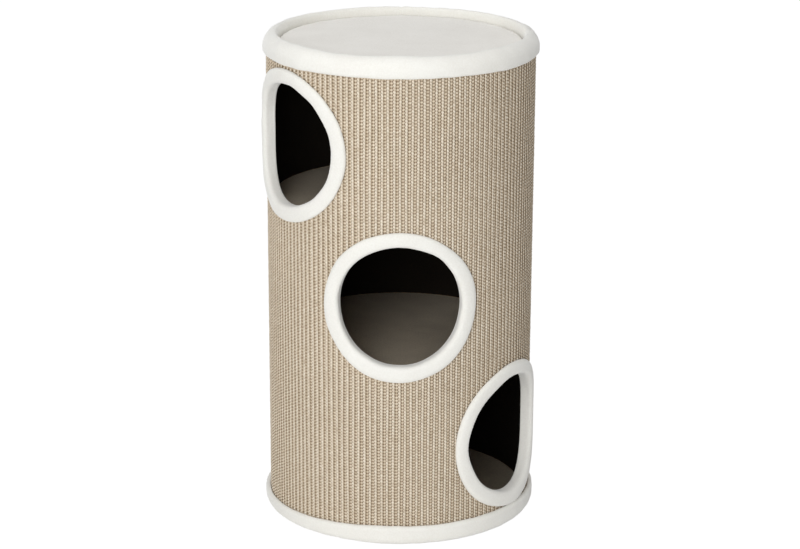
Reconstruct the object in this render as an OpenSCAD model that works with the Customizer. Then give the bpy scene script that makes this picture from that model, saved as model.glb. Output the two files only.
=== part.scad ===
// Three-storey barrel for cats: a rolled tube in a woven mat, with plush rims, portholes and floors.
// Millimetres. The origin is the centre of the underside, +Z is up and the middle porthole faces -Y.
// Angles round the barrel are counted from the front towards +X.

/* [Tube] */
// Outside diameter of the rolled tube
tube_d = 372; // [340:1:420]
// Wall of the rolled tube
tube_wall = 5; // [3:0.5:8]
// Gap left in the tube's butt seam
tube_seam_w = 0.6; // [0.2:0.1:2]
// Place of the tube's seam round the barrel, in degrees
tube_seam_at = 180; // [150:1:210]

/* [Mat] */
// Thickness of the woven mat
mat_t = 5; // [3:0.5:8]
// Gap between the two edges of the mat
mat_seam_w = 0.6; // [0.2:0.1:2]
// Place of the mat's seam round the barrel, in degrees
mat_seam_at = 160; // [130:1:175]

/* [Boards] */
// Thickness of each round board
board_t = 12; // [9:0.5:16]
// Depth of the top board's face below the edge of the tube
top_drop = 12; // [8:0.5:16]
// Gap between the lip of the lower porthole and the board over it
lower_head_gap = 14.2; // [5:0.1:40]
// Gap between the lip of the middle porthole and the board over it
middle_head_gap = 8.2; // [3:0.1:40]
// Gap between a shelf's floor and the lip of the porthole over it
sill_gap = 2.2; // [0.5:0.1:10]

/* [Portholes] */
// Radius of the clear openings, measured on the wall unrolled
opening_r = 86.3; // [70:0.1:95]
// Place of the upper porthole round the barrel, in degrees
upper_hole_at = -56; // [-75:0.5:-50]
// Place of the middle porthole round the barrel, in degrees
middle_hole_at = 0; // [-10:0.5:10]
// Place of the lower porthole round the barrel, in degrees
lower_hole_at = 57.3; // [50:0.1:75]

/* [Porthole trims] */
// Width of a trim over the mat, from the clear opening out
trim_w = 21; // [16:0.1:24]
// Height of a trim's crest over the mat
trim_h = 5.9; // [4:0.1:10]
// Thickness of a trim where it lines the cut edge of the wall
trim_web = 4.2; // [3.5:0.1:6]
// Reach of a trim's lip past the cut edge, inside the wall
lip_reach = 1.8; // [1:0.1:4]
// Thickness of a trim's lip inside the lining
lip_t = 3; // [2:0.1:5]
// Gap between the lower trim and the bottom rim
lower_trim_gap = 0.7; // [0.5:0.1:12]
// Gap between the upper trim and the top rim
upper_trim_gap = 4.7; // [0.5:0.1:15]

/* [Rims] */
// Thickness of the top rim outside the mat
top_rim_out_t = 4.5; // [4:0.1:8]
// Thickness of the top rim inside the tube
top_rim_in_t = 10; // [7:0.1:13]
// Height of the top rim's crest over the edge of the tube
top_rim_over = 13.5; // [11:0.1:17]
// Length of the top rim's skirt down the mat
top_rim_skirt = 15; // [14:0.5:22]
// Depth of the top rim's widest place below the edge of the tube
top_rim_bulge_drop = 9.5; // [7:0.1:12]
// Rounding of the top rim's lower edge
top_rim_edge_r = 5; // [2.5:0.1:5.5]
// Height of the bottom rim up the mat
bottom_rim_h = 29; // [22:0.5:36]
// Thickness of the bottom rim outside the mat
bottom_rim_t = 6.3; // [5:0.1:8]
// Rounding of the bottom rim where it turns under the barrel
bottom_rim_turn_r = 8; // [6:0.5:11]
// Width of the bottom rim's fold under the barrel
bottom_fold_w = 40; // [25:1:60]

/* [Fabrics] */
// Thickness of the plush on rims, trims and top pad
plush_t = 2; // [1.5:0.1:2.5]
// Thickness of the plush on the three floors
carpet_t = 2; // [1:0.1:4]
// Thickness of the dark lining of the chambers
lining_t = 1.5; // [0.5:0.1:2.5]
// Gap between the two edges of a lining
lining_seam_w = 0.6; // [0.2:0.1:2]
// Thickness of the cloth under the base board
dust_cloth_t = 1.5; // [0.5:0.1:1.8]

/* [Top pad] */
// Height of the pad's edge over the top board
pad_edge_h = 12; // [9:0.1:15]
// Rise of the pad's crown over its edge
pad_crown_h = 3; // [1:0.1:5]
// Width of the rounded shoulder round the pad's flat middle
pad_shoulder_w = 40; // [15:1:80]

/* [Screws] */
// Screws round each board
screw_count = 6; // [4:1:12]
// Place of the first screw round the barrel, in degrees
screw_first_at = 30; // [20:1:40]
// Diameter of a screw's shank
screw_d = 3.5; // [2.5:0.1:4.5]
// Length of a screw over all
screw_len = 25; // [18:1:40]
// Diameter of a screw's countersunk head
screw_head_d = 7; // [6:0.1:9]
// Height of a screw's head
screw_head_h = 2.2; // [1.5:0.1:3]
// Length of a screw's point
screw_point_h = 4; // [2:0.5:8]
// Depth of a screw's head below the face of the tube
screw_sink = 0.2; // [0.1:0.1:0.8]

/* [Fit] */
// Clearance between pieces that are pushed over or into each other
fit_gap = 0.3; // [0.2:0.05:0.6]
// Clearance round a screw in its hole
screw_play = 0.1; // [0.05:0.05:0.3]

/* [Hidden] */
$fn = 96;

// Segments round a porthole, and along the arcs of a trim's section
porthole_steps = 40;
flange_steps = 3;
crest_steps = 4;
lip_steps = 2;
// Segments along the shoulder of the top pad, and along the arcs of the top rim's section
shoulder_steps = 8;
rim_edge_steps = 5;
rim_roll_steps = 10;

// Places along a trim's section, as shares of the piece that carries them
crest_share = 0.51;
shoulder_share = 0.35;
lip_middle_share = 0.53;
// Place of the top rim's crest, as a share of the rim's width from its inner side
rim_crest_share = 0.39;

// Reach of every cut past the face that it opens
overrun = 2;
// Reach of a porthole's cut past the mat, where its flat facets fall behind the round wall
cut_reach = 12;

// Radii of the wall, from the outside in
tube_r = tube_d / 2;
tube_in_r = tube_r - tube_wall;
mat_r = tube_r + mat_t;
lining_r = tube_in_r - lining_t;
board_r = tube_in_r - fit_gap;

// Radii of a porthole on the unrolled wall
trim_r = opening_r + trim_w;
cut_r = opening_r + trim_web;
lip_r = cut_r + lip_reach;
web_r = cut_r - fit_gap;
crest_r = opening_r + trim_w * crest_share;
lip_middle_r = opening_r + (lip_r - opening_r) * lip_middle_share;

// Distances of a trim's section from the barrel's axis
seat_rho = mat_r + fit_gap;
crest_rho = seat_rho + trim_h;
shoulder_rho = seat_rho - (mat_r - tube_in_r) * shoulder_share;
neck_rho = tube_in_r;
lip_seat_rho = lining_r - fit_gap;
lip_rho = lining_r - lip_t;

// Heights up the barrel, each storey standing on the one below
base_z = plush_t;
base_floor_z = base_z + board_t + carpet_t;
lower_hole_z = bottom_rim_h + lower_trim_gap + trim_r;
middle_board_z = lower_hole_z + lip_r + lower_head_gap;
middle_floor_z = middle_board_z + board_t + carpet_t;
middle_hole_z = middle_floor_z + sill_gap + lip_r;
upper_board_z = middle_hole_z + lip_r + middle_head_gap;
upper_floor_z = upper_board_z + board_t + carpet_t;
upper_hole_z = upper_floor_z + sill_gap + lip_r;
top_rim_z = upper_hole_z + trim_r + upper_trim_gap;
tube_top_z = top_rim_z + top_rim_skirt;
top_face_z = tube_top_z - top_drop;
top_board_z = top_face_z - board_t;
total_h = tube_top_z + top_rim_over;

// Radii of the rims
top_rim_r = mat_r + top_rim_out_t;
top_rim_in_r = tube_in_r - top_rim_in_t;
top_rim_crest_r = top_rim_in_r + (top_rim_r - top_rim_in_r) * rim_crest_share;
top_rim_bulge_z = tube_top_z - top_rim_bulge_drop;
top_rim_edge_h = min(top_rim_edge_r, top_rim_bulge_z - top_rim_z);
bottom_rim_r = mat_r + bottom_rim_t;
fold_in_r = bottom_rim_r - bottom_rim_turn_r - bottom_fold_w;

// Top pad, inside the rim
pad_r = top_rim_in_r - fit_gap;
pad_edge_z = top_face_z + pad_edge_h;
pad_flat_r = pad_r - pad_shoulder_w;

// Colours
mat_colour = [0.72, 0.66, 0.57];
plush_colour = [0.96, 0.95, 0.92];
pad_colour = [0.87, 0.86, 0.83];
carpet_colour = [0.80, 0.79, 0.76];
lining_colour = [0.06, 0.05, 0.04];
board_colour = [0.62, 0.49, 0.34];
tube_colour = [0.55, 0.43, 0.30];
foam_colour = [0.93, 0.91, 0.80];
screw_colour = [0.70, 0.70, 0.72];
dust_cloth_colour = [0.10, 0.10, 0.10];

// A point of the barrel, from its place on the unrolled wall and its distance from the axis:
// r and turn are polar coordinates about the porthole's centre at the angle "at" and the height z.
function wall_point(r, turn, rho, at, z) =
    let (across = r * cos(turn), a = at + across / tube_r * 180 / PI)
    [rho * sin(a), -rho * cos(a), z + r * sin(turn)];

// Points of an ellipse's arc, without its first one
function arc(centre, half_axes, from, to, steps) =
    [for (i = [1 : steps])
        let (a = from + (to - from) * i / steps)
        [centre[0] + half_axes[0] * cos(a), centre[1] + half_axes[1] * sin(a)]];

function reversed(points) = [for (i = [len(points) - 1 : -1 : 0]) points[i]];

// Outside of a trim's section, as [r, rho], from the mat over the crest into the opening
function roll_outline(inset) = concat(
    [[trim_r - inset, seat_rho]],
    arc([crest_r, seat_rho], [trim_r - crest_r - inset, trim_h - inset], 0, 90, flange_steps),
    arc([crest_r, shoulder_rho], [crest_r - opening_r - inset, crest_rho - shoulder_rho - inset],
        90, 180, crest_steps));

function trim_cover_section() = concat(
    roll_outline(0),
    [[opening_r, neck_rho]],
    arc([lip_middle_r, neck_rho], [lip_middle_r - opening_r, neck_rho - lip_rho], 180, 270, lip_steps),
    arc([lip_middle_r, lip_seat_rho], [lip_r - lip_middle_r, lip_seat_rho - lip_rho], 270, 360, lip_steps),
    [[web_r, lip_seat_rho], [web_r, neck_rho], [opening_r + plush_t, neck_rho]],
    reversed(roll_outline(plush_t)));

function trim_foam_section() = concat(
    roll_outline(plush_t),
    [[opening_r + plush_t, neck_rho], [web_r, neck_rho], [web_r, seat_rho]]);

// Two triangles for each cell between neighbouring sections of a closed ring. The corner that both
// start from is the first or the second, so that two rings that touch can be split alike.
function ring_faces(size, first) =
    [for (i = [0 : porthole_steps - 1], j = [0 : size - 1])
        let (
            k = (i + 1) % porthole_steps,
            l = (j + 1) % size,
            corners = [i * size + j, i * size + l, k * size + l, k * size + j],
            last = corners[(first + 3) % 4])
        each [
            [corners[first], corners[first + 1], corners[first + 2]],
            [corners[first], corners[first + 2], last]]];

// A closed roll round a porthole, with the same section all the way, bent to the wall
module porthole_roll(section, at, z, first) {
    points = [for (i = [0 : porthole_steps - 1], p = section)
        wall_point(p[0], 360 * i / porthole_steps, p[1], at, z)];
    polyhedron(points = points, faces = ring_faces(len(section), first));
}

// What is cut out of the mat, the tube and a lining for one porthole
module porthole_cut(at, z) {
    depths = [lining_r - overrun, mat_r + cut_reach];
    rims = [for (rho = depths, i = [0 : porthole_steps - 1])
        wall_point(cut_r, 360 * i / porthole_steps, rho, at, z)];
    middles = [for (rho = depths) wall_point(0, 0, rho, at, z)];
    n = porthole_steps;
    faces = [for (i = [0 : n - 1])
        let (k = (i + 1) % n)
        each [[i, n + i, n + k], [i, n + k, k], [2 * n, i, k], [2 * n + 1, n + k, n + i]]];
    polyhedron(points = concat(rims, middles), faces = faces);
}

module all_porthole_cuts() {
    porthole_cut(lower_hole_at, lower_hole_z);
    porthole_cut(middle_hole_at, middle_hole_z);
    porthole_cut(upper_hole_at, upper_hole_z);
}

module disc(r, h, z) {
    translate([0, 0, z])
        cylinder(r = r, h = h);
}

// A sleeve rolled from a sheet, open at its seam by seam_w
module rolled_sleeve(in_r, out_r, from_z, to_z, seam_at, seam_w) {
    difference() {
        disc(out_r, to_z - from_z, from_z);
        disc(in_r, to_z - from_z + 2 * overrun, from_z - overrun);
        rotate([0, 0, seam_at])
            translate([-seam_w / 2, -out_r - overrun, from_z - overrun])
                cube([seam_w, out_r - in_r + 2 * overrun, to_z - from_z + 2 * overrun]);
    }
}

// A countersunk wood screw along +Z, its head's face at zero
module screw(play) {
    head_r = screw_head_d / 2 + play;
    shank_r = screw_d / 2 + play;
    rotate_extrude()
        polygon([[0, 0], [head_r, 0], [shank_r, screw_head_h], [shank_r, screw_len - screw_point_h],
            [0, screw_len + play]]);
}

// The hole that a screw sits in, open at its head
module screw_hole() {
    screw(screw_play);
    translate([0, 0, -overrun])
        cylinder(r = screw_head_d / 2 + screw_play, h = overrun);
}

// Children are set round the tube, pointing at its axis, halfway up the board whose underside is at board_z
module round_the_board(board_z) {
    for (i = [0 : screw_count - 1])
        rotate([0, 0, screw_first_at + 360 * i / screw_count])
            translate([0, screw_sink - tube_r, board_z + board_t / 2])
                rotate([-90, 0, 0])
                    children();
}

module board(z) {
    color(board_colour)
        difference() {
            disc(board_r, board_t, z);
            round_the_board(z)
                screw_hole();
        }
}

module screws(board_z) {
    color(screw_colour)
        round_the_board(board_z)
            screw(0);
}

module lining(floor_z, ceiling_z, at, hole_z) {
    color(lining_colour)
        difference() {
            rolled_sleeve(lining_r, tube_in_r, floor_z, ceiling_z, tube_seam_at, lining_seam_w);
            porthole_cut(at, hole_z);
        }
}

module carpet(floor_z) {
    color(carpet_colour)
        disc(board_r, carpet_t, floor_z - carpet_t);
}

module trim_foam(at, z) {
    color(foam_colour)
        porthole_roll(trim_foam_section(), at, z, 1);
}

module trim_cover(at, z) {
    color(plush_colour)
        porthole_roll(trim_cover_section(), at, z, 0);
}

// Half section of the top rim, drawn in by inset all round: a rounded lower edge, a plump roll that
// leans in over the wall, and an inner side that stands on the top board
module top_rim_outline(inset) {
    edge = arc([seat_rho, top_rim_z + top_rim_edge_h],
        [top_rim_r - seat_rho - inset, top_rim_edge_h - inset], 270, 360, rim_edge_steps);
    outer_roll = arc([top_rim_crest_r, top_rim_bulge_z],
        [top_rim_r - top_rim_crest_r - inset, total_h - top_rim_bulge_z - inset], 0, 90, rim_roll_steps);
    inner_roll = arc([top_rim_crest_r, tube_top_z],
        [top_rim_crest_r - top_rim_in_r - inset, top_rim_over - inset], 90, 180, rim_roll_steps);
    polygon(concat(
        [[mat_r, top_rim_z + inset], [seat_rho, top_rim_z + inset]],
        edge,
        outer_roll,
        inner_roll,
        [[top_rim_in_r + inset, top_face_z], [mat_r, top_face_z]]));
}

// Half section of the slot that the top rim is pushed over the wall with
module top_rim_slot() {
    translate([tube_in_r - fit_gap, top_rim_z - overrun])
        square([mat_r - tube_in_r + 2 * fit_gap, tube_top_z - top_rim_z + overrun]);
}

// Half section of the bottom rim's padded band, drawn in by inset all round
module bottom_rim_outline(inset) {
    top_r = bottom_rim_t - fit_gap - inset;
    turn_r = bottom_rim_turn_r - inset;
    out_r = bottom_rim_r - inset;
    translate([out_r - top_r, bottom_rim_h - inset - top_r])
        circle(r = top_r);
    translate([out_r - turn_r, inset + turn_r])
        circle(r = turn_r);
    translate([seat_rho, inset + turn_r])
        square([out_r - seat_rho, bottom_rim_h - 2 * inset - top_r - turn_r]);
}

// Half section of what stands inside the bottom rim
module bottom_rim_core() {
    translate([0, base_z])
        square([seat_rho, bottom_rim_h]);
}

// Half section of the top pad, drawn in by inset at its top and side
module pad_outline(inset) {
    crown_z = pad_edge_z + pad_crown_h - inset;
    shoulder = arc([pad_flat_r, pad_edge_z - inset], [pad_shoulder_w - inset, pad_crown_h],
        0, 90, shoulder_steps);
    polygon(concat(
        [[0, top_face_z], [pad_r - inset, top_face_z], [pad_r - inset, pad_edge_z - inset]],
        shoulder,
        [[0, crown_z]]));
}

module tube_shell() {
    color(tube_colour)
        difference() {
            rolled_sleeve(tube_in_r, tube_r, base_z, tube_top_z, tube_seam_at, tube_seam_w);
            all_porthole_cuts();
            for (z = [base_z, middle_board_z, upper_board_z, top_board_z])
                round_the_board(z)
                    screw_hole();
        }
}

module sisal_mat() {
    color(mat_colour)
        difference() {
            rolled_sleeve(tube_r, mat_r, base_z, tube_top_z, mat_seam_at, mat_seam_w);
            all_porthole_cuts();
        }
}

module base_board() {
    board(base_z);
}

module middle_shelf_board() {
    board(middle_board_z);
}

module upper_shelf_board() {
    board(upper_board_z);
}

module top_board() {
    board(top_board_z);
}

module base_screws() {
    screws(base_z);
}

module middle_shelf_screws() {
    screws(middle_board_z);
}

module upper_shelf_screws() {
    screws(upper_board_z);
}

module top_board_screws() {
    screws(top_board_z);
}

module lower_lining() {
    lining(base_floor_z, middle_board_z, lower_hole_at, lower_hole_z);
}

module middle_lining() {
    lining(middle_floor_z, upper_board_z, middle_hole_at, middle_hole_z);
}

module upper_lining() {
    lining(upper_floor_z, top_board_z, upper_hole_at, upper_hole_z);
}

module lower_carpet() {
    carpet(base_floor_z);
}

module middle_carpet() {
    carpet(middle_floor_z);
}

module upper_carpet() {
    carpet(upper_floor_z);
}

module lower_trim_foam() {
    trim_foam(lower_hole_at, lower_hole_z);
}

module middle_trim_foam() {
    trim_foam(middle_hole_at, middle_hole_z);
}

module upper_trim_foam() {
    trim_foam(upper_hole_at, upper_hole_z);
}

module lower_trim_cover() {
    trim_cover(lower_hole_at, lower_hole_z);
}

module middle_trim_cover() {
    trim_cover(middle_hole_at, middle_hole_z);
}

module upper_trim_cover() {
    trim_cover(upper_hole_at, upper_hole_z);
}

module top_rim_foam() {
    color(foam_colour)
        rotate_extrude()
            difference() {
                top_rim_outline(plush_t);
                top_rim_slot();
            }
}

module top_rim_cover() {
    color(plush_colour)
        rotate_extrude()
            difference() {
                top_rim_outline(0);
                top_rim_outline(plush_t);
                top_rim_slot();
            }
}

module bottom_rim_foam() {
    color(foam_colour)
        rotate_extrude()
            difference() {
                bottom_rim_outline(plush_t);
                bottom_rim_core();
            }
}

module bottom_rim_cover() {
    color(plush_colour)
        rotate_extrude() {
            difference() {
                bottom_rim_outline(0);
                bottom_rim_outline(plush_t);
                bottom_rim_core();
            }
            translate([fold_in_r, 0])
                square([bottom_fold_w, plush_t]);
        }
}

module top_pad_foam() {
    color(foam_colour)
        rotate_extrude()
            pad_outline(plush_t);
}

module top_pad_cover() {
    color(pad_colour)
        rotate_extrude()
            difference() {
                pad_outline(0);
                pad_outline(plush_t);
            }
}

module dust_cloth() {
    color(dust_cloth_colour)
        disc(fold_in_r - fit_gap, dust_cloth_t, base_z - dust_cloth_t);
}

tube_shell();
sisal_mat();
base_board();
middle_shelf_board();
upper_shelf_board();
top_board();
base_screws();
middle_shelf_screws();
upper_shelf_screws();
top_board_screws();
lower_lining();
middle_lining();
upper_lining();
lower_carpet();
middle_carpet();
upper_carpet();
lower_trim_foam();
middle_trim_foam();
upper_trim_foam();
lower_trim_cover();
middle_trim_cover();
upper_trim_cover();
top_rim_foam();
top_rim_cover();
bottom_rim_foam();
bottom_rim_cover();
top_pad_foam();
top_pad_cover();
dust_cloth();
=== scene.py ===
"""Looks of a three-storey cat barrel: woven sisal mat, plush rims and trims, dark lined chambers."""
import math

import bpy
import numpy as np
from mathutils import Matrix, Vector


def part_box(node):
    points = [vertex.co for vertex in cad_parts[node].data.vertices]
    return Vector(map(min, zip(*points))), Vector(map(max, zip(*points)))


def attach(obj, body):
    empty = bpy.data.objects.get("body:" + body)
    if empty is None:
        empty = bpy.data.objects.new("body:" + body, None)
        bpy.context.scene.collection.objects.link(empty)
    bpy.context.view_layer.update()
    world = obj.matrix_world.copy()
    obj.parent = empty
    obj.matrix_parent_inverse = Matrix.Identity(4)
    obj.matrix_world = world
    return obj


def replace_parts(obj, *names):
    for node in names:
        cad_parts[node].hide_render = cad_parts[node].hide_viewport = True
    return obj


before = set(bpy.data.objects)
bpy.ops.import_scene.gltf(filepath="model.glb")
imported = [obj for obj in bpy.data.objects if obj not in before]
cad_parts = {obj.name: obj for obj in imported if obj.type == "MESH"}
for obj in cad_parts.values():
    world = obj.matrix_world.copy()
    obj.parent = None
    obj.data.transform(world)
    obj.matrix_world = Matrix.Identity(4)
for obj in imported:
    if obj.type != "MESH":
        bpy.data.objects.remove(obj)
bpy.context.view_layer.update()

# Sizes in metres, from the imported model's boxes
MAT_LOW, MAT_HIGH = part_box("sisal_mat")
MAT_R = MAT_HIGH.x
TUBE_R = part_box("tube_shell")[1].x
TUBE_IN_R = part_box("upper_lining")[1].x
TUBE_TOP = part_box("tube_shell")[1].z
TOP_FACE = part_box("top_board")[1].z
TOP_RIM_LOW, TOP_RIM_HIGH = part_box("top_rim_cover")
BOTTOM_RIM_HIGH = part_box("bottom_rim_cover")[1]
PAD_LOW, PAD_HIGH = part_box("top_pad_cover")
TRIM_LOW, TRIM_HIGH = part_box("middle_trim_cover")
TRIM_R = (TRIM_HIGH.z - TRIM_LOW.z) / 2
TRIM_CREST = -TRIM_LOW.y

# Sizes in metres that the boxes don't give
FIT = 0.0003
TRIM_W = 0.021
TRIM_WEB = 0.0042
TRIM_FLARE = 0.0026
TRIM_LIP = 0.0018
TRIM_LIP_T = 0.0012
LINING_T = 0.0015
TOP_RIM_IN_T = 0.0075
TOP_RIM_EDGE_R = 0.005
TOP_RIM_BULGE_DROP = 0.0095
BOTTOM_TURN_R = 0.012
BOTTOM_FOLD_W = 0.036
BOTTOM_CLOTH_T = 0.002
MAT_SEAM_W = 0.0006

# Places round the barrel in degrees, from the front towards +X
PORTHOLE_AT = {"upper": -56.0, "middle": 0.0, "lower": 57.3}
MAT_SEAM_AT = 160.0
RIM_SEAM_AT = 180.0

# Derived sizes
OPENING_R = TRIM_R - TRIM_W
CUT_R = OPENING_R + TRIM_WEB
SEAT = MAT_R + FIT
TOP_RIM_IN_R = TUBE_IN_R - TOP_RIM_IN_T

# Each chamber's floor
FLOOR_BOARDS = {"lower": "base_board", "middle": "middle_shelf_board", "upper": "upper_shelf_board"}

# First seeds of the pieces' random numbers, and the step to the next piece of a kind
WEAVE_SEED = 31
SHIFT_SEED = 32
CLOTH_SEED = 77
TRIM_SEED = 100
LINING_SEED = 200
TOP_RIM_SEED = 300
BOTTOM_RIM_SEED = 310
CARPET_SEED = 400
SEED_STEP = 10


# Meshes

MAP_MARGIN = 0.004


def mesh_object(name, points, faces, uv=None):
    """A smooth piece from arrays of points and four-cornered faces, with the face corners' map if given."""
    mesh = bpy.data.meshes.new(name)
    mesh.vertices.add(len(points))
    mesh.vertices.foreach_set("co", np.asarray(points, np.float32).ravel())
    mesh.loops.add(faces.size)
    mesh.loops.foreach_set("vertex_index", faces.astype(np.int32).ravel())
    mesh.polygons.add(len(faces))
    mesh.polygons.foreach_set("loop_start", np.arange(len(faces), dtype=np.int32) * faces.shape[1])
    if uv is not None:
        mesh.uv_layers.new(name="OFBake").data.foreach_set("uv", uv.astype(np.float32).ravel())
    mesh.update(calc_edges=True)
    mesh.shade_smooth()
    made = bpy.data.objects.new(name, mesh)
    bpy.context.scene.collection.objects.link(made)
    return made


def grid_faces(rows, columns, close_rows=False, close_columns=False):
    """Corner indices and map of the cells of a grid of points, which may close on itself either way."""
    row_cells = rows if close_rows else rows - 1
    column_cells = columns if close_columns else columns - 1
    i, j = (a.ravel() for a in np.meshgrid(np.arange(row_cells), np.arange(column_cells), indexing="ij"))
    corners = [(i, j), (i + 1, j), (i + 1, j + 1), (i, j + 1)]
    faces = np.stack([(a % rows) * columns + b % columns for a, b in corners], 1)
    uv = np.stack([np.stack([a / row_cells, b / column_cells], 1) for a, b in corners], 1)
    return faces, MAP_MARGIN + (1 - 2 * MAP_MARGIN) * uv


def add_values(piece, name, values):
    """A number at each point of a piece, for its material to read."""
    layer = piece.data.attributes.new(name, "FLOAT", "POINT")
    layer.data.foreach_set("value", np.asarray(values, np.float32).ravel())


def points_of(piece):
    """The points of a piece's mesh as an array."""
    points = np.zeros(len(piece.data.vertices) * 3, np.float32)
    piece.data.vertices.foreach_get("co", points)
    return points.reshape(-1, 3).astype(float)


def set_points(piece, points):
    """Moves the points of a piece's mesh."""
    piece.data.vertices.foreach_set("co", np.asarray(points, np.float32).ravel())
    piece.data.update()


def freeze(piece):
    """Applies a piece's modifiers to its mesh."""
    shown = piece.evaluated_get(bpy.context.evaluated_depsgraph_get())
    mesh = bpy.data.meshes.new_from_object(shown)
    piece.modifiers.clear()
    piece.data = mesh


def on_wall(angle, rho, z):
    """Points at an angle round the barrel, a distance from its axis and a height."""
    angle, rho, z = np.broadcast_arrays(angle, rho, z)
    return np.stack([rho * np.sin(angle), -rho * np.cos(angle), z], -1).reshape(-1, 3)


def turns(count, start=0.0):
    """Angles at equal steps once round."""
    return np.linspace(start, start + 2 * math.pi, count, endpoint=False)


def half_turned(angle):
    """An angle brought between minus and plus half a turn."""
    return np.mod(angle + math.pi, 2 * math.pi) - math.pi


def eased(share):
    """A share from 0 to 1 that starts and ends smoothly."""
    return share * share * (3 - 2 * share)


def arc(centre, half_axes, start, end, steps=16, fullness=2.0):
    """Points of an ellipse's arc, its angles in degrees. A fullness over 2 draws it towards a square."""
    turn = np.radians(np.linspace(start, end, steps + 1))
    ways = [np.cos(turn), np.sin(turn)]
    return np.stack([c + half * np.sign(way) * np.abs(way) ** (2 / fullness)
                     for c, half, way in zip(centre, half_axes, ways)], 1)


def soft(points, softness):
    """Points of an outline with how far the cover may swell there, from 0 to 1, as a third number."""
    points = np.atleast_2d(points)
    return np.column_stack([points, np.full(len(points), softness)])


def resampled(outline, count):
    """A closed outline's points, and what else is in their rows, at equal distances along it."""
    closed = np.vstack([outline, outline[:1]])
    steps = np.linalg.norm(np.diff(closed[:, :2], axis=0), axis=1)
    along = np.concatenate([[0], np.cumsum(steps)])
    wanted = np.linspace(0, along[-1], count, endpoint=False)
    return np.stack([np.interp(wanted, along, closed[:, k]) for k in range(closed.shape[1])], 1)


def outward(section):
    """Unit normals of a closed section whose points run with its inside on their left."""
    ahead = np.roll(section, -1, 0) - np.roll(section, 1, 0)
    normal = np.stack([ahead[:, 1], -ahead[:, 0]], 1)
    return normal / np.maximum(np.linalg.norm(normal, axis=1, keepdims=True), 1e-9)


# Unevenness of soft goods, from seeded random numbers

def swells(turn, across, seed, waves, sides, count=28):
    """A smooth random pattern on a closed roll, about -1 to 1: waves round it and across its section."""
    rng = np.random.default_rng(seed)
    total = np.zeros(np.broadcast(turn, across).shape)
    for _ in range(count):
        round_it = rng.integers(waves[0], waves[1] + 1)
        over_it = rng.integers(-sides, sides + 1)
        total += np.sin(round_it * turn + over_it * across + rng.uniform(0, 2 * math.pi))
    return total / math.sqrt(2 * count)


def pile(shape, seed, most=1.2):
    """Fine unevenness of short plush on a closed grid, about -1 to 1."""
    noise = np.random.default_rng(seed).normal(size=shape)
    for axis in (0, 1):
        noise = (2 * noise + np.roll(noise, 1, axis) + np.roll(noise, -1, axis)) / 4
    return np.clip(noise / (2 * noise.std()), -most, most)


# Materials

def srgb(red, green, blue):
    """A colour as the photograph gives it, 0 to 255, for a shader's socket."""
    shares = [c / 255 for c in (red, green, blue)]
    return (*[c / 12.92 if c <= 0.04045 else ((c + 0.055) / 1.055) ** 2.4 for c in shares], 1.0)


def add_node(tree, kind, links=(), sockets=(), **settings):
    """A shader node with its settings, its (socket, output) links and its (socket, value) numbers."""
    made = tree.nodes.new("ShaderNode" + kind)
    for name, value in settings.items():
        setattr(made, name, value)
    for socket, value in sockets:
        made.inputs[socket].default_value = value
    for socket, output in links:
        tree.links.new(output, made.inputs[socket])
    return made


class Shader:
    """A material with one Principled shader, and short calls to add nodes to it."""

    def __init__(self, name, **sockets):
        self.material = bpy.data.materials.new(name)
        self.material.use_nodes = True
        self.tree = self.material.node_tree
        self.surface = self.tree.nodes["Principled BSDF"]
        for socket, value in sockets.items():
            self.surface.inputs[socket.replace("_", " ")].default_value = value

    def add(self, kind, links=(), sockets=(), **settings):
        """A node of this material."""
        return add_node(self.tree, kind, links, sockets, **settings)

    def place(self, stretch=(1, 1, 1)):
        """Places on the object in metres, stretched."""
        coords = self.add("TexCoord")
        return self.add("Mapping", [("Vector", coords.outputs["Object"])], [("Scale", stretch)]).outputs[0]

    def noise(self, scale, detail=2.0, stretch=(1, 1, 1), rough=0.55):
        """Noise of about that many waves to a metre, from 0 to 1."""
        sockets = [("Scale", scale), ("Detail", detail), ("Roughness", rough)]
        return self.add("TexNoise", [("Vector", self.place(stretch))], sockets).outputs["Fac"]

    def value(self, name):
        """A number kept at the points of the mesh."""
        return self.add("Attribute", attribute_name=name).outputs["Fac"]

    def plus(self, first, second, share, middle=0.0):
        """first with a share of second added, as far as second is from its middle."""
        part = self.add("Math", [(0, second)], [(1, share), (2, -share * middle)], operation="MULTIPLY_ADD")
        return self.add("Math", [(0, first), (1, part.outputs[0])], operation="ADD").outputs[0]

    def colours(self, value, *stops):
        """The surface's colours along a value, as (place, colour) pairs."""
        made = self.add("ValToRGB", [("Fac", value)])
        elements = made.color_ramp.elements
        while len(elements) < len(stops):
            elements.new(0.5)
        for element, (place, colour) in zip(elements, stops):
            element.position = place
            element.color = colour
        self.tree.links.new(made.outputs["Color"], self.surface.inputs["Base Color"])

    def roughness(self, value, low, high):
        """The surface's roughness between two numbers along a value."""
        made = self.add("MapRange", [("Value", value)], [("To Min", low), ("To Max", high)])
        self.tree.links.new(made.outputs["Result"], self.surface.inputs["Roughness"])

    def relief(self, *layers):
        """Fine relief from (height, depth in metres, strength) layers, one on the other."""
        below = []
        for height, depth, strength in layers:
            sockets = [("Strength", strength), ("Distance", depth)]
            made = self.add("Bump", [("Height", height), *below], sockets)
            below = [("Normal", made.outputs["Normal"])]
        self.tree.links.new(below[0][1], self.surface.inputs["Normal"])


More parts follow.
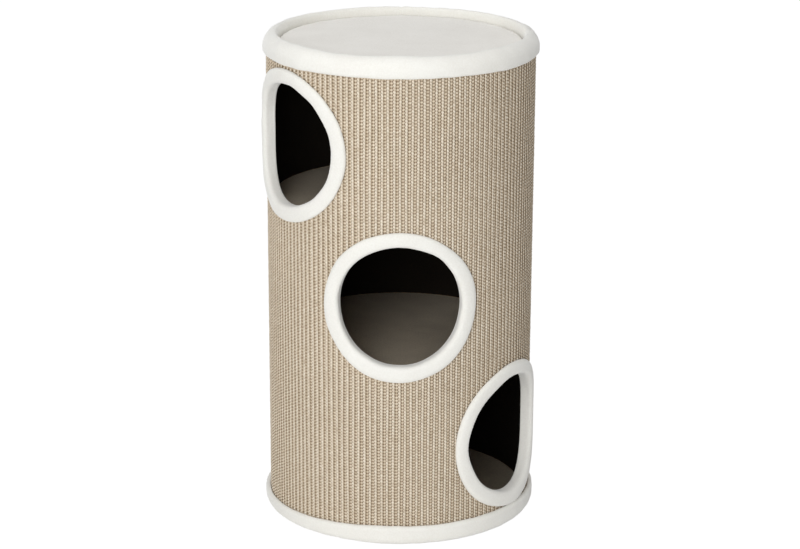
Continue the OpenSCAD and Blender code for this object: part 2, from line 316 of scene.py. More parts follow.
def sisal_material():
    """Sisal and cotton yarns: pale chains, greyer bars and gaps darkened with painted shade, with fibres
    along them.
    """
    s = Shader("woven_sisal", Specular_IOR_Level=0.2)
    fibre = s.noise(1500, detail=3, stretch=(1, 1, 0.45), rough=0.65)
    speck = s.noise(420)
    # The points' lightness holds the yarns' own colour with painted shade on the chains' sides and necks,
    # round the beads and in the holes; the colour ramp's dark end is that painted shade.
    light = s.plus(s.value("light"), s.value("tone"), share=0.06)
    light = s.plus(light, fibre, share=0.14, middle=0.5)
    light = s.plus(light, speck, share=0.08, middle=0.5)
    light = s.plus(light, s.noise(7), share=0.10, middle=0.5)
    s.colours(light, (0.0, srgb(64, 52, 39)), (0.25, srgb(146, 127, 103)), (0.5, srgb(192, 175, 150)),
              (0.75, srgb(224, 209, 188)), (1.0, srgb(242, 232, 215)))
    s.roughness(fibre, low=0.75, high=0.95)
    s.relief((speck, 0.0004, 0.4), (fibre, 0.0003, 0.5))
    return s.material


def plush_material(name, pale, shade, bloom):
    """Short dense plush: a soft nap in clumps, with a faint bloom at the edges."""
    s = Shader(name, Specular_IOR_Level=0.1, Sheen_Weight=bloom, Sheen_Roughness=0.5)
    clump = s.noise(420, detail=3, rough=0.6)
    mix = s.plus(clump, s.noise(14, detail=3), share=0.6, middle=0.5)
    s.colours(mix, (0.25, shade), (0.65, pale))
    s.roughness(clump, low=0.88, high=1.0)
    s.relief((clump, 0.0008, 0.35), (s.noise(2600), 0.0003, 0.3))
    return s.material


def lining_material():
    """Dark pressed felt."""
    s = Shader("dark_felt", Specular_IOR_Level=0.1)
    fibre = s.noise(900, detail=4, stretch=(1, 1, 0.7), rough=0.7)
    mix = s.plus(fibre, s.noise(20), share=0.3, middle=0.5)
    s.colours(mix, (0.2, srgb(15, 12, 9)), (0.8, srgb(32, 27, 21)))
    s.roughness(fibre, low=0.85, high=1.0)
    s.relief((fibre, 0.0006, 0.5))
    return s.material


def dust_cloth_material():
    """Thin black cloth of bonded fibres with a pressed pattern of dots."""
    s = Shader("bonded_cloth", Specular_IOR_Level=0.3)
    dots = s.add("TexVoronoi", [("Vector", s.place((1, 1, 0)))], [("Scale", 420), ("Randomness", 0.15)])
    fibre = s.noise(1100, detail=3, stretch=(1, 0.5, 1), rough=0.7)
    s.colours(fibre, (0.3, srgb(26, 26, 27)), (0.8, srgb(58, 58, 60)))
    s.roughness(fibre, low=0.6, high=0.9)
    s.relief((dots.outputs["Distance"], 0.0004, 0.6), (fibre, 0.0002, 0.4))
    return s.material


def tube_material():
    """Rolled brown paperboard."""
    s = Shader("paperboard", Specular_IOR_Level=0.25)
    fibre = s.noise(700, detail=4, stretch=(1, 1, 0.2), rough=0.65)
    mix = s.plus(fibre, s.noise(18, detail=3), share=0.4, middle=0.5)
    s.colours(mix, (0.25, srgb(128, 100, 70)), (0.8, srgb(172, 142, 106)))
    s.roughness(fibre, low=0.75, high=0.95)
    s.relief((fibre, 0.0003, 0.3))
    return s.material


def board_material():
    """Pressed wood-fibre board with pale and dark flecks."""
    s = Shader("fibreboard", Specular_IOR_Level=0.3)
    fleck = s.noise(520, detail=5, rough=0.75)
    mix = s.plus(fleck, s.noise(16), share=0.25, middle=0.5)
    s.colours(mix, (0.25, srgb(116, 84, 52)), (0.5, srgb(160, 124, 84)), (0.8, srgb(196, 164, 122)))
    s.roughness(fleck, low=0.6, high=0.9)
    s.relief((fleck, 0.0003, 0.3))
    return s.material


def screw_material():
    """Bright zinc with fine handling marks."""
    s = Shader("zinc_screw", Metallic=1.0)
    mark = s.noise(2400, detail=3, stretch=(1, 1, 0.15))
    s.colours(mark, (0.3, srgb(150, 150, 154)), (0.7, srgb(206, 206, 210)))
    s.roughness(mark, low=0.25, high=0.5)
    s.relief((mark, 0.00005, 0.3))
    return s.material


SISAL = sisal_material()
PLUSH = plush_material("cream_plush", pale=srgb(247, 246, 240), shade=srgb(241, 239, 232), bloom=0.6)
# The top pad's plush is paler than the rims' plush: painted light on the barrel's top.
PAD_PLUSH_PAINTED_LIGHT = plush_material("pad_plush", pale=srgb(250, 247, 240), shade=srgb(238, 234, 226), bloom=0.6)
# The floor plush is darker and warmer than the pale grey plush itself: painted shade for the chambers' dim
# floors.
CARPET_PAINTED_SHADE = plush_material("floor_plush", pale=srgb(180, 168, 148), shade=srgb(156, 145, 127), bloom=0.1)
FELT = lining_material()
CLOTH = dust_cloth_material()


def dressed(piece, material, slot, *nodes):
    """Gives a piece its material, its body and the CAD nodes that it stands for. The slot is not used."""
    piece.data.materials.clear()
    piece.data.materials.append(material)
    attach(piece, "root")
    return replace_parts(piece, *nodes)


# Portholes, on the wall unrolled at the tube's face

MAT_CUT_MARGIN = 0.0012
LINING_CUT_MARGIN = 0.002


def porthole_centre(name):
    """Angle and height of a porthole's centre."""
    low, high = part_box(name + "_trim_cover")
    return math.radians(PORTHOLE_AT[name]), (low.z + high.z) / 2


PORTHOLES = {name: porthole_centre(name) for name in PORTHOLE_AT}


def cut_portholes(angle, z, faces, names, margin):
    """Which faces lie outside the portholes, after the points near their edge are drawn onto it."""
    keep = np.ones(len(angle), bool)
    for name in names:
        at, middle = PORTHOLES[name]
        across = half_turned(angle - at) * TUBE_R
        up = z - middle
        reach = np.hypot(across, up)
        edge = (reach > CUT_R - margin) & (reach < CUT_R)
        angle[edge] += across[edge] * (CUT_R / reach[edge] - 1) / TUBE_R
        z[edge] += up[edge] * (CUT_R / reach[edge] - 1)
        keep &= reach >= CUT_R - margin
    return keep[faces].all(1)


# The woven mat: columns of pale chain stitches, and beads of sisal on a strand between them

COLUMNS = 145
MAT_STRIPS = 13
POINTS_ALONG = 4
STITCH = 0.00452
CHAIN_H = 0.0025
BEAD_H = 0.0008
WEAVE_DEPTH = 0.0027

# Shares of a column's width
CHAIN_HALF_SHARE = 0.25
BEAD_OFF_SHARE = 0.05
BEAD_LEFT_SHARE = 0.24
BEAD_RIGHT_SHARE = 0.32
STRAND_HALF_SHARE = 0.12
HOLE_OFF_SHARE = 0.15
HOLE_SPREAD_SHARE = 0.09
SHIFT_FROM_SHARE = 0.2
SHIFT_BLEND_SHARE = 0.13

# Shares of a stitch's length
CHAIN_LEAN_SHARE = 0.15
BEAD_RISE_SHARE = 0.48
SHIFT_SHARE = 0.1

# Shares of a yarn's width or height
CHAIN_NECK_SHARE = 0.42
CHAIN_DIP_SHARE = 0.45
CHAIN_LIFT_SHARE = 0.04
BEAD_LIFT_SHARE = 0.08
STRAND_H_SHARE = 0.6

# Middle and spread of the beads' slant and of the chains' lean
BEAD_SLANT = (0.3, 0.3)
CHAIN_LEAN = (-0.5, 0.2)

# Lightness from 0 to 1, the yarns' own colour with painted shade: the beads, the ground between them and
# what the strand adds to it, and then the chains' tops and sides, as their middle and their swing from a
# stitch's neck to its widest place. The ground lies darker than the beads, and the chains' necks and sides
# darker than their tops, as painted shade, the left sides darkest.
BEAD_LIGHT = 0.89
GROUND_LIGHT = 0.46
STRAND_LIGHT = 0.08
TOP_LIGHT_AND_NECK_SHADE = (0.86, 0.20)
LEFT_SIDE_PAINTED_SHADE = (0.20, 0.36)
RIGHT_SIDE_PAINTED_SHADE = (0.42, -0.44)

# Slow waves of the columns' places and the stitches' heights: share, turn by column and turn by stitch
WANDER_WAVES = [(0.03, 0.9, 0.11), (0.03, 2.3, -0.043)]
DRIFT_WAVES = [(0.25, 0.31, -0.05)]

# The mesh's points across a column, which follow the chain's sides: times the chain's half width, share of
# the column, share of the chain's height, and what the point lies on
ON_SISAL, ON_SIDE, ON_TOP = range(3)
WEAVE_POINTS = np.array([
    (0, -0.5, 0, ON_SISAL), (0, -0.42, 0, ON_SISAL), (0, -0.33, 0, ON_SISAL), (-1, -0.035, 0, ON_SISAL),
    (-1, -0.01, 0, ON_SIDE), (-1, 0.01, 0.75, ON_SIDE), (-1, 0.04, 0.95, ON_TOP), (0, 0.01, 1, ON_TOP),
    (1, -0.03, 0.95, ON_TOP), (1, 0.0, 0.75, ON_SIDE), (1, 0.02, 0, ON_SIDE),
    (0, 0.33, 0, ON_SISAL), (0, 0.41, 0, ON_SISAL)])


def dome(offset):
    """Height of a round yarn's section, 1 in the middle and 0 from 1 outwards."""
    return np.sqrt(np.clip(1 - offset ** 2, 0, 1))


def ripple(v):
    """A wave that is 1 at whole numbers and 0 half way between them."""
    return 0.5 + 0.5 * np.cos(2 * math.pi * v)


def yarn_draws(rows):
    """Random tones, lifts, slants and leans of the yarns, by column and row."""
    rng = np.random.default_rng(WEAVE_SEED)
    size = (COLUMNS + 1, rows + 1)
    draws = dict(zip(("chain_tone", "bead_tone", "lift"), rng.normal(0, 1, (3, *size))))
    draws["slant"] = rng.normal(*BEAD_SLANT, size)
    draws["lean"] = rng.normal(*CHAIN_LEAN, size)
    return draws


def chain_yarn(column, point, knot, v, draws):
    """Place across the column and height of the chains' points, and the stitch's width there, 0 to 1."""
    side, share, rise = WEAVE_POINTS[point].T[:3, :, None]
    stitch = ripple(v - CHAIN_LEAN_SHARE * side * draws["lean"][column, knot])
    u = share + side * CHAIN_HALF_SHARE * (CHAIN_NECK_SHARE + (1 - CHAIN_NECK_SHARE) * stitch)
    height = CHAIN_H * rise * (CHAIN_DIP_SHARE + (1 - CHAIN_DIP_SHARE) * stitch)
    return u, height * (1 + CHAIN_LIFT_SHARE * draws["lift"][column, knot]), stitch


def sisal_yarn(between, row, off, v, draws):
    """Height and lightness of the sisal's points, off the beads' middle, and the bead's height, 0 to 1. The
    lightness holds painted shade: it falls towards each bead's edge and down to the ground, and goes dark
    in the holes where two beads meet.
    """
    reach = np.where(off > 0, BEAD_RIGHT_SHARE, BEAD_LEFT_SHARE)
    rise = (v - 0.5 - draws["slant"][between, row] * off) / BEAD_RISE_SHARE
    bead = dome(np.hypot(rise, off / reach))
    strand = dome(off / STRAND_HALF_SHARE)
    lifted = bead * (1 + BEAD_LIFT_SHARE * draws["lift"][between, row])
    height = BEAD_H * np.maximum(lifted, STRAND_H_SHARE * strand)
    # Painted shade in the holes beside the strand, where two beads meet.
    hole_shade = np.exp(-((np.abs(off) - HOLE_OFF_SHARE) / HOLE_SPREAD_SHARE) ** 2) * ripple(v)
    light = np.maximum(BEAD_LIGHT * np.sqrt(bead), GROUND_LIGHT + STRAND_LIGHT * strand) * (1 - hole_shade)
    return height, light, bead


def weave(column, point, row, v):
    """Place across the column, height, lightness and tone of the weave's points, at v along a stitch.

    Pale chains of leaning stitches run up the columns. Between them lie beads of sisal on a strand, half a
    stitch out of step with the chains, and holes on either side of the strand where two beads meet. The
    lightness holds painted shade in the holes, round the beads, at the chains' necks and on the chains'
    sides.
    """
    draws = yarn_draws(int(row.max()) + 1)
    knot = row + (v >= 0.5)
    u, chain, stitch = chain_yarn(column, point, knot, v, draws)
    between = column + (u > 0)
    off = np.where(u > 0, u - 0.5, u + 0.5) - BEAD_OFF_SHARE
    sisal, sisal_lightness_and_shade, bead = sisal_yarn(between, row, off, v, draws)
    on_left = WEAVE_POINTS[point, 0][:, None] < 0
    on_side = WEAVE_POINTS[point, 3][:, None] == ON_SIDE
    on_top = WEAVE_POINTS[point, 3][:, None] == ON_TOP
    # The chains' sides get painted shade, deeper on the left sides, and the tops get painted shade at the
    # necks.
    lights = (TOP_LIGHT_AND_NECK_SHADE, LEFT_SIDE_PAINTED_SHADE, RIGHT_SIDE_PAINTED_SHADE)
    chain_shade_and_lightness = [middle + swing * (stitch - 0.5) for middle, swing in lights]
    light = np.select([on_top, on_side & on_left, on_side], chain_shade_and_lightness, sisal_lightness_and_shade)
    tone = np.where(on_top, draws["chain_tone"][column, knot], bead * draws["bead_tone"][between, row])
    return u, np.maximum(chain, sisal), light, tone


def stitch_shift(column, u):
    """How far the stitches of each column are up or down from a common row, as a share of a stitch."""
    rng = np.random.default_rng(SHIFT_SEED)
    chains, beads = rng.uniform(-SHIFT_SHARE, SHIFT_SHARE, (2, COLUMNS + 1))
    beside = beads[column + (u > 0)]
    blend = np.clip((np.abs(u) - SHIFT_FROM_SHARE) / SHIFT_BLEND_SHARE, 0, 1)
    return chains[column] + (beside - chains[column]) * eased(blend)


def slow_waves(place, up, waves):
    """A sum of slow waves over the mat, at a place in columns from its seam and up it in stitches."""
    return sum(share * np.sin(place * by_column + up * by_stitch) for share, by_column, by_stitch in waves)


def mat_places(column, u, up, rows):
    """Angle and height of the weave's points, which stray a little from straight columns and even rows."""
    place = column + 0.5 + u
    wander = slow_waves(place, up, WANDER_WAVES) * np.clip(np.minimum(place, COLUMNS - place), 0, 1)
    drift = stitch_shift(column, u) + slow_waves(place, up, DRIFT_WAVES)
    pitch = 2 * math.pi / COLUMNS
    parting = np.clip(1 - place, 0, 1) - np.clip(1 - COLUMNS + place, 0, 1)
    angle = math.radians(MAT_SEAM_AT) + pitch * (place + wander) + parting * MAT_SEAM_W / 2 / MAT_R
    z = MAT_LOW.z + (up + drift) * (MAT_HIGH.z - MAT_LOW.z) / rows
    return angle, np.clip(z, MAT_LOW.z, MAT_HIGH.z)


def mat_strip(number):
    """One of the strips that the mat's weave is made in, counted from its seam."""
    first, end = (COLUMNS * n // MAT_STRIPS for n in (number, number + 1))
    columns = end - first
    mat_h = MAT_HIGH.z - MAT_LOW.z
    rows = round(mat_h / STITCH)
    column, point = np.divmod(np.arange(columns * len(WEAVE_POINTS) + 1), len(WEAVE_POINTS))
    column = (first + column)[:, None]
    up = np.arange(rows * POINTS_ALONG + 1)[None, :] / POINTS_ALONG
    row = np.minimum(up.astype(int), rows - 1)
    u, height, light, tone = weave(column, point, row, up - row)
    angle, z = (a.ravel().copy() for a in mat_places(column, u, up, rows))
    faces, uv = grid_faces(*height.shape)
    kept = cut_portholes(angle, z, faces, PORTHOLES, MAT_CUT_MARGIN)
    points = on_wall(angle, MAT_R - WEAVE_DEPTH + height.ravel(), z)
    piece = mesh_object(f"sisal_mat_{number + 1}", points, faces[kept], uv[kept])
    # The lightness carries painted shade as well as the yarns' own colour.
    add_values(piece, "light", light)
    add_values(piece, "tone", tone)
    dressed(piece, SISAL, "sisal", "sisal_mat")
    return piece


# Plush rolls round the portholes and the two edges of the barrel

# Shares of the trim's width, of the wall's thickness and of the lip's width
TRIM_CREST_SHARE = 0.5
TRIM_SHOULDER_SHARE = 0.35
TRIM_LIP_SHARE = 0.53
TRIM_OUTER_FULLNESS = 2.3
TRIM_INNER_FULLNESS = 2.9
TOP_RIM_CREST_SHARE = 0.18

# The rolls' unevenness in metres
PILE_H = 0.00012
TRIM_SWELL = 0.0004
TRIM_INNER_STRAY = 0.0007
TRIM_OUTER_STRAY = 0.0009
TRIM_INNER_SAG = 0.0008
TRIM_OUTER_SAG = 0.0010
RIM_SWELL = 0.0008
RIM_PUCKER = 0.0004
RIM_SEAM_DEPTH = 0.0011
RIM_SEAM_W = 0.0022

# The bottom rim's lack of height at the left, and the degrees over which it comes and goes
BAND_LACK_SHARE = 0.28
BAND_FALL = 70
BAND_RISE = 80


def trim_section():
    """Section of a porthole's trim, as radius on the wall, distance from the axis and softness."""
    crest_r = OPENING_R + TRIM_CREST_SHARE * TRIM_W
    shoulder = SEAT - TRIM_SHOULDER_SHARE * (MAT_R - TUBE_IN_R)
    outer = (TRIM_R - crest_r, TRIM_CREST - SEAT)
    inner = (crest_r - OPENING_R, TRIM_CREST - shoulder)
    lip_seat = TUBE_IN_R - LINING_T - FIT
    lip = TUBE_IN_R - LINING_T - TRIM_LIP_T
    lip_r = CUT_R + TRIM_LIP
    lip_middle = OPENING_R + TRIM_LIP_SHARE * (lip_r - OPENING_R)
    return np.vstack([
        soft(arc((crest_r, SEAT), outer, 0, 90, steps=24, fullness=TRIM_OUTER_FULLNESS), 1),
        soft(arc((crest_r, shoulder), inner, 90, 180, steps=24, fullness=TRIM_INNER_FULLNESS), 1),
        soft((OPENING_R, TUBE_IN_R), 0.5),
        soft(arc((lip_middle, TUBE_IN_R), (lip_middle - OPENING_R, TUBE_IN_R - lip), 180, 270), 0.3),
        soft(arc((lip_middle, lip_seat), (lip_r - lip_middle, lip_seat - lip), 270, 360), 0.2),
        soft([(CUT_R - FIT, lip_seat), (CUT_R - FIT, SEAT)], 0)])


def trim_flare(section, turn):
    """How far the trim's inside draws back at the porthole's sides, where the wall is cut straight."""
    depth = np.clip((SEAT - section[:, 1]) / (SEAT - TUBE_IN_R), 0, 1)
    inside = np.clip((CUT_R - section[:, 0]) / TRIM_WEB, 0, 1)
    return TRIM_FLARE * depth * inside * np.cos(turn) ** 2


def trim_stray(section, turn, seed):
    """How far the trim's two edges stray outwards from true circles, and sag at the bottom."""
    sag = (0.5 - 0.5 * np.sin(turn)) ** 2
    inner_edge = TRIM_INNER_STRAY * swells(turn, 0, seed, waves=(2, 9), sides=0) - TRIM_INNER_SAG * sag
    outer_edge = TRIM_OUTER_STRAY * swells(turn, 0, seed + 1, waves=(2, 6), sides=0) + TRIM_OUTER_SAG * sag
    outwards = np.clip((section[:, 0] - OPENING_R) / TRIM_W, 0, 1)
    return (inner_edge + (outer_edge - inner_edge) * outwards) * section[:, 2]


def porthole_trim(name, seed):
    """The stuffed plush roll round one porthole, bent to the wall like a saddle."""
    steps, sides = 480, 88
    section = resampled(trim_section(), sides)
    normal = outward(section[:, :2])
    turn, across = turns(steps)[:, None], turns(sides)[None, :]
    swell = TRIM_SWELL * swells(turn, across, seed, waves=(2, 14), sides=2)
    swell = (swell + PILE_H * pile((steps, sides), seed + 1)) * section[:, 2]
    stray = trim_stray(section, turn, seed + 2) + trim_flare(section, turn)
    r = section[:, 0] + swell * normal[:, 0] + stray
    rho = section[:, 1] + swell * normal[:, 1]
    at, middle = PORTHOLES[name]
    z = np.clip(middle + r * np.sin(turn), BOTTOM_RIM_HIGH.z + FIT, TOP_RIM_LOW.z - FIT)
    points = on_wall(at + r * np.cos(turn) / TUBE_R, rho, z)
    piece = mesh_object(name + "_trim", points, *grid_faces(steps, sides, True, True))
    dressed(piece, PLUSH, "plush", name + "_trim_cover", name + "_trim_foam")
    return piece


def top_rim_section():
    """Section of the top rim, as radius, height and softness: a plump roll that leans in over the wall."""
    low, high, out_r = TOP_RIM_LOW.z, TOP_RIM_HIGH.z, TOP_RIM_HIGH.x
    crest_r = TOP_RIM_IN_R + TOP_RIM_CREST_SHARE * (out_r - TOP_RIM_IN_R)
    bulge_z = TUBE_TOP - TOP_RIM_BULGE_DROP
    return np.vstack([
        soft((SEAT, low), 0),
        soft(arc((SEAT, low + TOP_RIM_EDGE_R), (out_r - SEAT, TOP_RIM_EDGE_R), -90, 0), 0.7),
        soft(arc((crest_r, bulge_z), (out_r - crest_r, high - bulge_z), 0, 90, steps=32), 1),
        soft(arc((crest_r, TUBE_TOP), (crest_r - TOP_RIM_IN_R, high - TUBE_TOP), 90, 180, steps=24), 1),
        soft((TOP_RIM_IN_R, TOP_FACE), 0.2),
        soft([(TUBE_IN_R - FIT, TOP_FACE), (TUBE_IN_R - FIT, TUBE_TOP), (SEAT, TUBE_TOP)], 0)])


def bottom_rim_section():
    """Section of the bottom rim and its fold under the barrel, as radius, height and softness."""
    out_r, turn = BOTTOM_RIM_HIGH.x, BOTTOM_TURN_R
    roll = out_r - SEAT
    fold_r = out_r - turn - BOTTOM_FOLD_W
    return np.vstack([
        soft([(fold_r, BOTTOM_CLOTH_T), (fold_r, 0)], 0.1),
        soft(arc((out_r - turn, turn), (turn, turn), -90, 0), 0.6),
        soft(arc((SEAT, BOTTOM_RIM_HIGH.z - roll), (roll, roll), 0, 90), 1),
        soft((SEAT, BOTTOM_CLOTH_T), 0)])


def uneven_band(turn):
    """How much of its height the bottom rim lacks round the barrel: it was sewn on lower at the left."""
    from_front = np.clip(-turn / math.radians(BAND_FALL), 0, 1)
    from_back = np.clip((turn + math.pi) / math.radians(BAND_RISE), 0, 1)
    return BAND_LACK_SHARE * eased(from_front) * eased(from_back)


def plush_rim(name, outline, seed, lacking=None):
    """A stuffed plush binding round the barrel, its ends sewn together at the back."""
    steps, sides = 720, 96
    section = resampled(outline, sides)
    normal = outward(section[:, :2])
    turn, across = turns(steps, -math.pi)[:, None], turns(sides)[None, :]
    swell = RIM_SWELL * swells(turn, across, seed, waves=(2, 9), sides=1)
    swell = swell + RIM_PUCKER * swells(turn, across, seed + 2, waves=(12, 46), sides=1)
    from_seam = half_turned(turn - math.radians(RIM_SEAM_AT)) * MAT_R
    swell = swell - RIM_SEAM_DEPTH * np.exp(-(from_seam / RIM_SEAM_W) ** 2)
    swell = (swell + PILE_H * pile((steps, sides), seed + 1)) * section[:, 2]
    r = section[:, 0] + swell * normal[:, 0]
    z = np.maximum(section[:, 1] + swell * normal[:, 1], 0)
    if lacking is not None:
        z = z * (1 - lacking(turn))
    piece = mesh_object(name, on_wall(turn, r, z), *grid_faces(steps, sides, True, True))
    dressed(piece, PLUSH, "plush", name + "_cover", name + "_foam")
    return piece


# Flat goods

CARPET_WAVE = 0.0006
CARPET_TURNED = 0.003
CLOTH_WAVE = 0.0003
CLOTH_TURNED = 0.002
LINING_PILE_H = 0.0002
LINING_FACE_SHARE = 0.7

# A round's first ring, its pattern's turn from middle to edge, and the share of it that lies calmer
ROUND_FIRST_R = 0.001
ROUND_PATTERN_TURN = 5
ROUND_CALM_SHARE = 0.25

# The turned edge of a round: shares of its width inwards, and of its height away from the face
EDGE_IN_SHARES = np.array([0.6, 0.25, 0.05, 0])
EDGE_DROP_SHARES = np.array([0.06, 0.3, 0.65, 1.0])


def round_sheet(name, radius, edge_z, face_z, unevenness, seed, turned):
    """A round of cloth laid flat: its face is a little uneven, and its edge turns away from the face."""
    rings, steps = 60, 192
    flat = np.linspace(ROUND_FIRST_R, radius - turned, rings)
    r = np.concatenate([flat, radius - turned * EDGE_IN_SHARES])[:, None]
    drop = np.concatenate([np.zeros(rings), EDGE_DROP_SHARES])[:, None]
    turn = turns(steps)[None, :]
    wave = swells(turn, r / radius * ROUND_PATTERN_TURN, seed, waves=(1, 7), sides=3)
    wave = np.clip(wave, -1, 1) * np.clip(r / (radius * ROUND_CALM_SHARE), 0, 1)
    inwards = np.sign(edge_z - face_z)
    z = face_z + (edge_z - face_z) * drop + inwards * unevenness * (0.5 + 0.5 * wave) * (drop == 0)
    return mesh_object(name, on_wall(turn, r, z), *grid_faces(len(r), steps, False, True))


def carpet(name, seed):
    """The plush on one chamber's floor."""
    low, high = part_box(name + "_carpet")
    piece = round_sheet(name + "_floor_plush", high.x, low.z, high.z, CARPET_WAVE, seed, CARPET_TURNED)
    dressed(piece, CARPET_PAINTED_SHADE, "carpet", name + "_carpet")
    return piece


def dust_cloth():
    """The cloth stretched under the base board."""
    low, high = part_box("dust_cloth")
    piece = round_sheet("underside_cloth", high.x, high.z, low.z, CLOTH_WAVE, CLOTH_SEED, CLOTH_TURNED)
    piece.data.flip_normals()
    dressed(piece, CLOTH, "dust_cloth", "dust_cloth")
    return piece


def lining(name, seed):
    """The dark felt on one chamber's wall, whose ends meet at the back, cut out for its porthole."""
    low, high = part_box(name + "_lining")
    steps, rows = 420, 84
    angle = np.linspace(math.pi, 3 * math.pi, steps)[:, None]
    z = np.linspace(low.z, high.z, rows)[None, :]
    rho = TUBE_IN_R - LINING_FACE_SHARE * LINING_T + LINING_PILE_H * pile((steps, rows), seed)
    faces, uv = (corners[:, ::-1] for corners in grid_faces(steps, rows))
    angle, z, rho = (np.broadcast_to(a, (steps, rows)).ravel().copy() for a in (angle, z, rho))
    kept = cut_portholes(angle, z, faces, [name], LINING_CUT_MARGIN)
    piece = mesh_object(name + "_lining_felt", on_wall(angle, rho, z), faces[kept], uv[kept])
    dressed(piece, FELT, "lining", name + "_lining")
    return piece


# The top pad

PAD_SWELL = 0.0012
PAD_EDGE = 0.0015
PAD_GAP = 0.0008
PAD_FACE = 0.003
PAD_HELD_H = 0.001
PAD_MIDDLE_R = 1e-5
STUFFING_FRAMES = 20
STUFFING_PRESSURE = 4


def pad_blank():
    """The pad before it is stuffed: a flat closed round, a little small, of even small faces."""
    steps = 180
    radius = TOP_RIM_IN_R - PAD_GAP
    low, high = PAD_LOW.z, PAD_HIGH.z - PAD_SWELL
    side = arc((radius - PAD_EDGE, (low + high) / 2), (PAD_EDGE, (high - low) / 2), 90, -90, steps=10)
    r = np.concatenate([[PAD_MIDDLE_R], side[:, 0], [PAD_MIDDLE_R]])[:, None]
    z = np.concatenate([[high], side[:, 1], [low]])[:, None]
    points = on_wall(turns(steps)[None, :], r, z)
    piece = mesh_object("top_pad", points, *grid_faces(len(r), steps, False, True))
    even = piece.modifiers.new("even", "REMESH")
    even.mode = "VOXEL"
    even.voxel_size = PAD_FACE
    freeze(piece)
    return piece


def stuffed(piece, held, most):
    """Fills a closed cover by cloth simulation: the held points stay, and none moves further than most."""
    rest = points_of(piece)
    group = piece.vertex_groups.new(name="held")
    group.add(np.flatnonzero(held).tolist(), 1.0, "REPLACE")
    cloth = piece.modifiers.new("stuffing", "CLOTH")
    cloth.settings.quality = 6
    cloth.settings.mass = 0.3
    cloth.settings.use_pressure = True
    cloth.settings.uniform_pressure_force = STUFFING_PRESSURE
    cloth.settings.vertex_group_mass = "held"
    cloth.settings.effector_weights.gravity = 0
    cloth.point_cache.frame_end = STUFFING_FRAMES
    for number in range(1, STUFFING_FRAMES + 1):
        bpy.context.scene.frame_set(number)
    freeze(piece)
    bpy.context.scene.frame_set(1)
    move = points_of(piece) - rest
    far = np.linalg.norm(move, axis=1, keepdims=True)
    set_points(piece, rest + move * np.minimum(1, most / np.maximum(far, 1e-9)))


def top_pad():
    """The stuffed pad on the top board."""
    piece = pad_blank()
    points = points_of(piece)
    stuffed(piece, points[:, 2] < PAD_LOW.z + PAD_HELD_H, PAD_SWELL)
    finer = piece.modifiers.new("finer", "SUBSURF")
    finer.levels = 1
    finer.render_levels = 1
    freeze(piece)
    piece.data.shade_smooth()
    points = points_of(piece)
    points[:, 2] = np.maximum(points[:, 2], PAD_LOW.z)
    set_points(piece, points)
    dressed(piece, PAD_PLUSH_PAINTED_LIGHT, "pad_plush", "top_pad_cover", "top_pad_foam")
    return piece


# Studio

SENSOR_W = 36
LENS = 107.48
CAMERA_PLACE = (0, -3.311, 1.362)
CAMERA_DOWN = 17.126
CAMERA_ROLL = 0.25

# Each lamp's place, width in metres and power in watts, and the place that they face
LAMPS = {"key": ((-0.78, -3.16, 1.20), 1.8, 51), "top": ((-0.20, -0.20, 3.00), 1.6, 16)}
LAMP_AIM = (0, 0, 0.38)

SURROUND_LIGHT = 0.42
FLOOR_HALF = 14.0
FLOOR_GLOW = 0.95
FLOOR_PAINT = (0.88, 0.88, 0.88, 1)
FLOOR_SEEN_PAINT = (0.14, 0.14, 0.14, 1)


def camera():
    """The photograph's view."""
    data = bpy.data.cameras.new("camera")
    data.sensor_fit = "HORIZONTAL"
    data.sensor_width = SENSOR_W
    data.lens = LENS
    made = bpy.data.objects.new("camera", data)
    made.location = CAMERA_PLACE
    pitch = Matrix.Rotation(math.radians(90 - CAMERA_DOWN), 3, "X")
    roll = Matrix.Rotation(math.radians(CAMERA_ROLL), 3, "Z")
    made.rotation_euler = (pitch @ roll).to_euler()
    bpy.context.scene.collection.objects.link(made)
    bpy.context.scene.camera = made


def lamp(name, place, size, power):
    """A round soft lamp that faces the middle of the barrel."""
    data = bpy.data.lights.new(name, "AREA")
    data.shape = "DISK"
    data.size = size
    data.energy = power
    made = bpy.data.objects.new(name, data)
    made.location = place
    made.rotation_euler = (Vector(LAMP_AIM) - Vector(place)).to_track_quat("-Z", "Y").to_euler()
    bpy.context.scene.collection.objects.link(made)


def seen_straight(tree):
    """1 where a ray comes from the camera, a mirror or glass, and 0 for light on its way."""
    rays = add_node(tree, "LightPath").outputs
    total = rays["Is Camera Ray"]
    for name in ("Is Glossy Ray", "Is Transmission Ray"):
        total = add_node(tree, "Math", [(0, total), (1, rays[name])], operation="MAXIMUM").outputs[0]
    return total


def surroundings(strength):
    """Even light from all round, and white where it is seen."""
    world = bpy.data.worlds.new("studio")
    world.use_nodes = True
    tree = world.node_tree
    back = tree.nodes["Background"]
    back.inputs["Color"].default_value = (1, 1, 1, 1)
    sockets = [("To Min", strength), ("To Max", 1.0)]
    level = add_node(tree, "MapRange", [("Value", seen_straight(tree))], sockets)
    tree.links.new(level.outputs["Result"], back.inputs["Strength"])
    bpy.context.scene.world = world


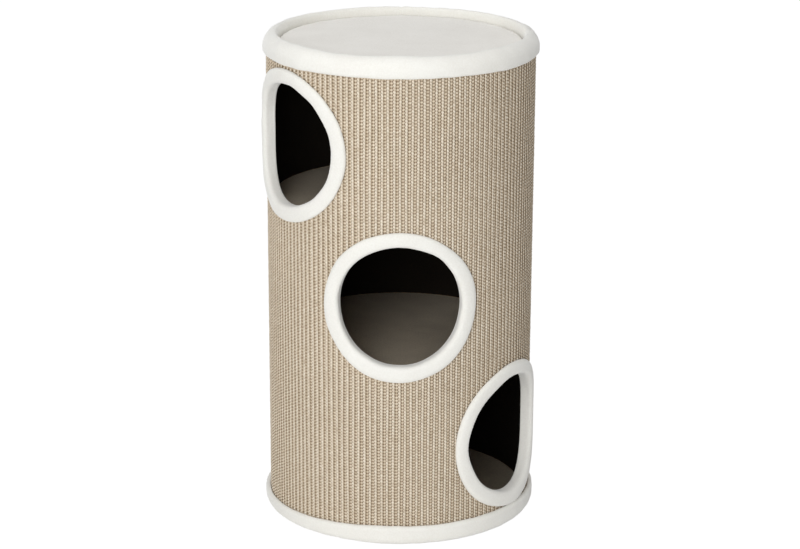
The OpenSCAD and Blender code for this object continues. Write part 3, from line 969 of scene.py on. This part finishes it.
def floor_material(glow):
    """Plain white paint to the light, and an even glow that keeps a faint shadow where it is seen."""
    material = bpy.data.materials.new("floor_white")
    material.use_nodes = True
    tree = material.node_tree
    tree.nodes.remove(tree.nodes["Principled BSDF"])
    paint = add_node(tree, "BsdfDiffuse", sockets=[("Color", FLOOR_PAINT)])
    faint = add_node(tree, "BsdfDiffuse", sockets=[("Color", FLOOR_SEEN_PAINT)])
    shine = add_node(tree, "Emission", sockets=[("Strength", glow)])
    seen = add_node(tree, "AddShader", [(0, faint.outputs[0]), (1, shine.outputs[0])])
    links = [("Fac", seen_straight(tree)), (1, paint.outputs[0]), (2, seen.outputs[0])]
    pick = add_node(tree, "MixShader", links)
    tree.links.new(pick.outputs[0], tree.nodes["Material Output"].inputs["Surface"])
    return material


def floor():
    """The white floor that the barrel stands on."""
    half = FLOOR_HALF
    points = np.array([(-half, -half, 0), (half, -half, 0), (half, half, 0), (-half, half, 0)])
    made = mesh_object("floor", points, np.array([[0, 1, 2, 3]]))
    made.data.materials.append(floor_material(FLOOR_GLOW))


def hard_parts():
    """Materials of the CAD nodes that keep their own shape."""
    tube, board, screw = tube_material(), board_material(), screw_material()
    for name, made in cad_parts.items():
        chosen = {"shell": tube, "board": board, "screws": screw}.get(name.rsplit("_", 1)[1])
        if chosen is not None:
            made.data.materials.clear()
            made.data.materials.append(chosen)


camera()
hard_parts()
for number in range(MAT_STRIPS):
    mat_strip(number)
for number, name in enumerate(PORTHOLE_AT):
    porthole_trim(name, TRIM_SEED + SEED_STEP * number)
    lining(name, LINING_SEED + SEED_STEP * number)
plush_rim("top_rim", top_rim_section(), TOP_RIM_SEED)
plush_rim("bottom_rim", bottom_rim_section(), BOTTOM_RIM_SEED, uneven_band)
for number, (name, board) in enumerate(FLOOR_BOARDS.items()):
    carpet(name, CARPET_SEED + SEED_STEP * number)
dust_cloth()
top_pad()

for name, (place, size, power) in LAMPS.items():
    lamp(name, place, size, power)
surroundings(SURROUND_LIGHT)
floor()
bpy.context.scene.view_settings.view_transform = "Standard"
